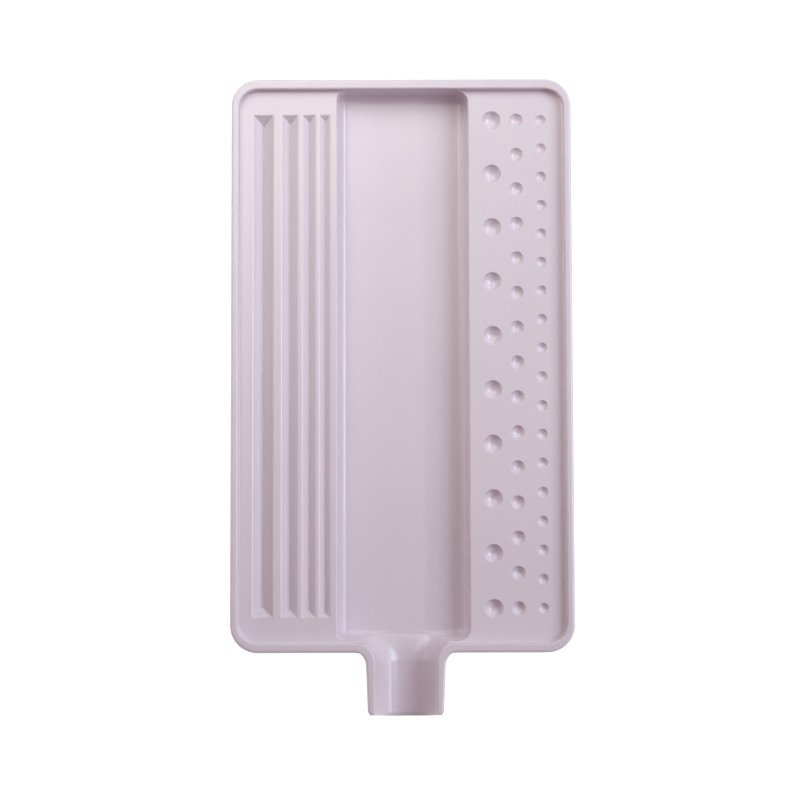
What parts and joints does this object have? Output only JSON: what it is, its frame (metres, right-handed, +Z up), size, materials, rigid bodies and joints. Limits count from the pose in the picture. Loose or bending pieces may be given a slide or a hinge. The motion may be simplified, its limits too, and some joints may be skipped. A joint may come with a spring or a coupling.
{
  "type": "bead sorting tray",
  "caption": "Rectangular one-piece moulded tray with a raised rim, V-grooved ledge, deep centre trough, dimpled ledge and a half-round pouring spout.",
  "frame": {"origin": "centre of the overall box, on the surface that the tray rests on", "axes": "+Z up, out of the open top; the spout points to -Y; +X towards the ledge with the round dimples"},
  "size_m": [0.086, 0.1604, 0.0108],
  "materials": {
    "white_plastic": "satin moulded plastic, off-white with a slight pink cast"
  },
  "bodies": {
    "root": {"tray": "white_plastic"}
  },
  "joints": []
}
